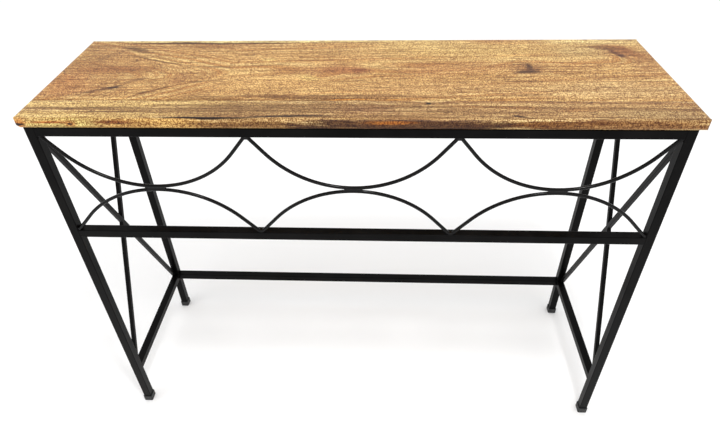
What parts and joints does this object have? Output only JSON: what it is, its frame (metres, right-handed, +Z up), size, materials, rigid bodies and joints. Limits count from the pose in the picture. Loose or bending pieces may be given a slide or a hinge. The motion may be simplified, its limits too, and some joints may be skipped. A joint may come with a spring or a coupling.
{
  "type": "console table",
  "caption": "Long narrow console table: solid-wood board top on a welded black square-tube frame, with crossed end braces and a front panel of round-rod arcs.",
  "frame": {"origin": "on the floor, under the middle of the wooden top's bounding box", "axes": "+X along the top to the right, +Y from the front panel to the back, +Z up"},
  "size_m": [1.0348, 0.3, 0.762],
  "materials": {
    "mango_boards": "clear satin oil on solid hardwood, grain along the length",
    "black_steel_tube": "satin black powder coat",
    "black_steel_bar": "satin black powder coat",
    "black_steel_rod": "satin black powder coat",
    "black_steel_weld": "weld bead under satin black powder coat",
    "black_steel_tabs": "satin black powder coat",
    "black_plastic_caps": "moulded matt black plastic",
    "zinc_screws": "bright zinc plate"
  },
  "bodies": {
    "root": {"top_board_front": "mango_boards", "top_board_back": "mango_boards", "leg_front_left": "black_steel_tube", "leg_front_right": "black_steel_tube", "leg_back_left": "black_steel_tube", "leg_back_right": "black_steel_tube", "top_rail_front": "black_steel_tube", "top_rail_back": "black_steel_tube", "top_rail_left": "black_steel_tube", "top_rail_right": "black_steel_tube", "mid_rail_front": "black_steel_tube", "stretcher_back": "black_steel_tube", "stretcher_left": "black_steel_tube", "stretcher_right": "black_steel_tube", "brace_left_long": "black_steel_bar", "brace_left_lower": "black_steel_bar", "brace_left_upper": "black_steel_bar", "brace_right_long": "black_steel_bar", "brace_right_lower": "black_steel_bar", "brace_right_upper": "black_steel_bar", "arc_hanging_left": "black_steel_rod", "arc_rising_left": "black_steel_rod", "arc_hanging_centre": "black_steel_rod", "arc_rising_centre": "black_steel_rod", "arc_hanging_right": "black_steel_rod", "arc_rising_right": "black_steel_rod", "welds_between_arcs": "black_steel_weld", "welds_at_arc_feet": "black_steel_weld", "foot_cap_front_left": "black_plastic_caps", "foot_cap_front_right": "black_plastic_caps", "foot_cap_back_left": "black_plastic_caps", "foot_cap_back_right": "black_plastic_caps", "fixing_tabs": "black_steel_tabs", "fixing_screws": "zinc_screws"}
  },
  "joints": []
}
